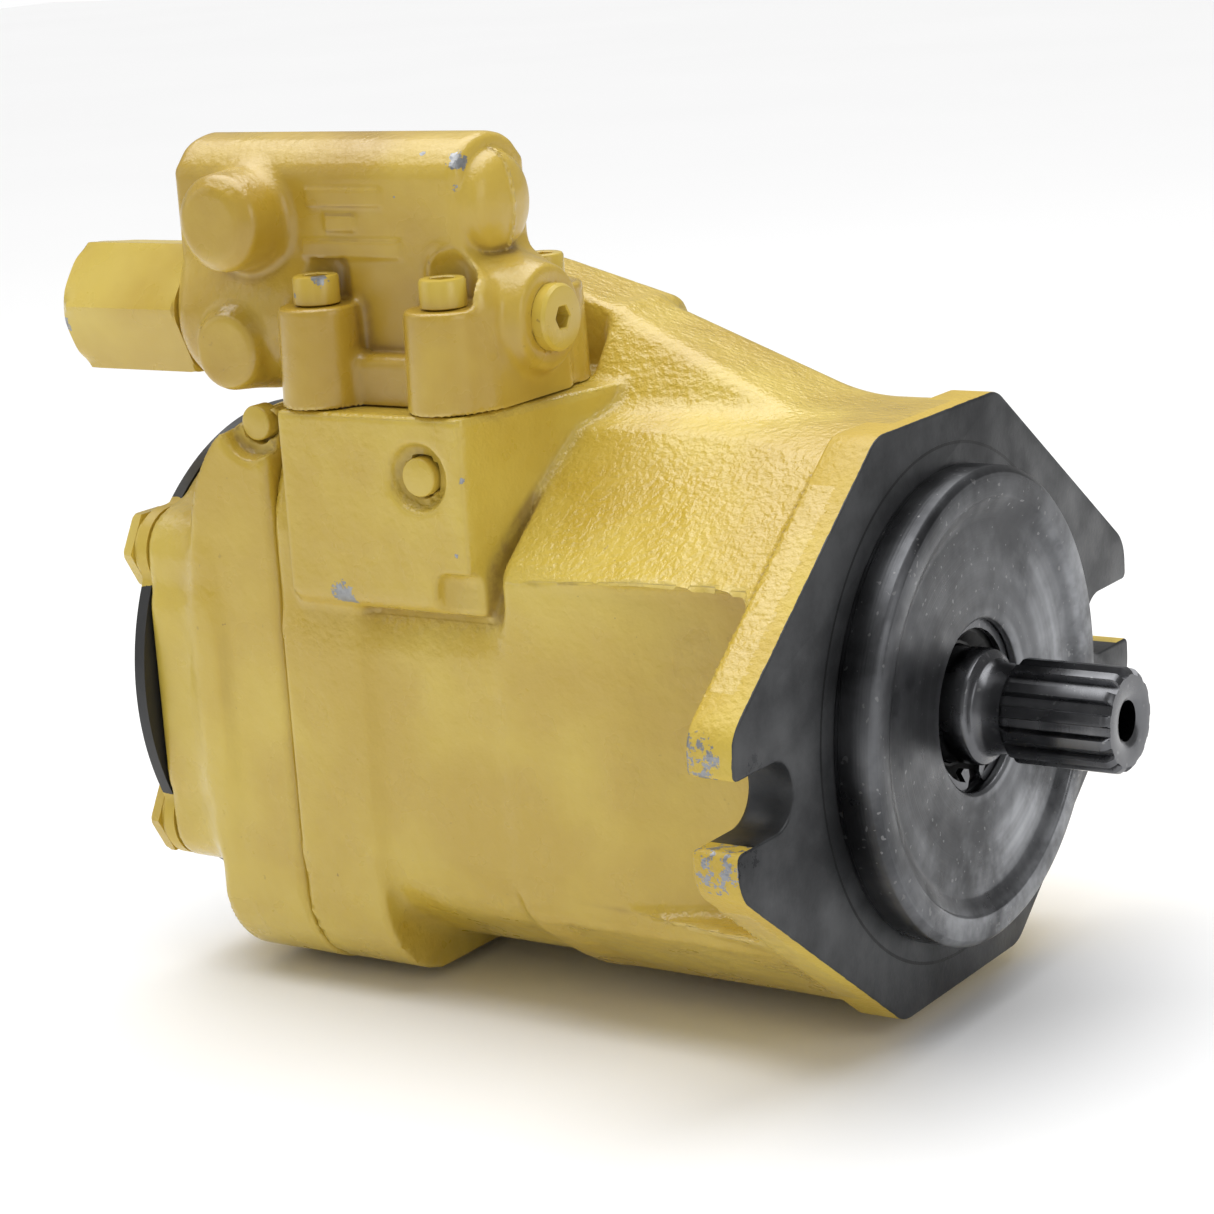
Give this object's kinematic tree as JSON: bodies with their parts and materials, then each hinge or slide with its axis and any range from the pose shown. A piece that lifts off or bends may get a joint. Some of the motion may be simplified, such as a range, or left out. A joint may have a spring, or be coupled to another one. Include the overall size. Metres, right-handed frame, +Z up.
{
  "type": "axial piston pump",
  "caption": "Variable axial piston pump: lugged mounting flange with pilot, splined shaft, swash-plate rotating group, port plate, end cover and a control valve bolted on top.",
  "frame": {"origin": "on the shaft axis, in the plane of the flange's mounting face", "axes": "+X along the shaft and out of its drive end, +Z up towards the control valve, -Y towards the side that the valve stands on"},
  "size_m": [0.2417, 0.175, 0.188],
  "materials": {
    "yellow_paint": "semi-gloss paint on cast iron",
    "dark_steel": "dark oiled steel",
    "bright_steel": "ground steel",
    "bronze": "bearing bronze",
    "black_rubber": "matt rubber"
  },
  "bodies": {
    "pump": {"housing": "yellow_paint", "port_plate": "yellow_paint", "housing_seal": "black_rubber", "cover_plate": "dark_steel", "cover_seal": "black_rubber", "end_bolt_1": "yellow_paint", "end_bolt_2": "yellow_paint", "end_bolt_3": "yellow_paint", "end_bolt_4": "yellow_paint", "housing_side_plug": "yellow_paint", "port_plate_side_plug": "yellow_paint", "front_bearing_outer": "bright_steel", "rear_bearing_outer": "bright_steel", "shaft_seal": "black_rubber", "seal_retaining_ring": "dark_steel", "valve_plate": "bronze", "swash_plate": "dark_steel", "cradle_bearing_1": "bronze", "cradle_bearing_2": "bronze", "stroking_piston": "bright_steel", "bias_spring": "bright_steel", "valve_body": "yellow_paint", "valve_screw_1": "yellow_paint", "valve_screw_2": "yellow_paint", "valve_screw_3": "yellow_paint", "valve_screw_4": "yellow_paint", "valve_front_plug": "yellow_paint", "spool_spring": "bright_steel"},
    "rotor": {"shaft": "dark_steel", "front_bearing_inner": "bright_steel", "front_bearing_rollers": "bright_steel", "rear_bearing_inner": "bright_steel", "rear_bearing_rollers": "bright_steel", "cylinder_block": "bright_steel", "retainer_plate": "bright_steel", "retainer_ball": "dark_steel", "piston_1": "bright_steel", "piston_2": "bright_steel", "piston_3": "bright_steel", "piston_4": "bright_steel", "piston_5": "bright_steel", "piston_6": "bright_steel", "piston_7": "bright_steel", "piston_8": "bright_steel", "piston_9": "bright_steel", "slipper_1": "bronze", "slipper_2": "bronze", "slipper_3": "bronze", "slipper_4": "bronze", "slipper_5": "bronze", "slipper_6": "bronze", "slipper_7": "bronze", "slipper_8": "bronze", "slipper_9": "bronze"},
    "adjuster_seat": {"spring_seat": "bright_steel"},
    "adjuster": {"adjuster_cap": "yellow_paint"},
    "spool": {"spool": "bright_steel"}
  },
  "joints": [
    {"name": "shaft_spin", "type": "hinge", "parent": "pump", "child": "rotor", "pos_m": [0, 0, 0], "axis": [1, 0, 0], "continuous": true},
    {"name": "adjuster_travel", "type": "slide", "parent": "pump", "child": "adjuster_seat", "axis": [-1, 0, 0], "range_m": [0, 0.0031]},
    {"name": "adjuster_turn", "type": "hinge", "parent": "adjuster_seat", "child": "adjuster", "pos_m": [-0.19, -0.031, 0.0853], "axis": [-1, 0, 0], "range_deg": [0, 720]},
    {"name": "spool_slide", "type": "slide", "parent": "pump", "child": "spool", "axis": [-1, 0, 0], "range_m": [0, 0.004], "stiffness_N_per_m": 2000, "springref_m": -0.002, "deforming": ["spool_spring"]}
  ],
  "couplings": [
    {"joint": "adjuster_travel", "follows": "adjuster_turn", "m_per_rad": 0.00023873}
  ]
}
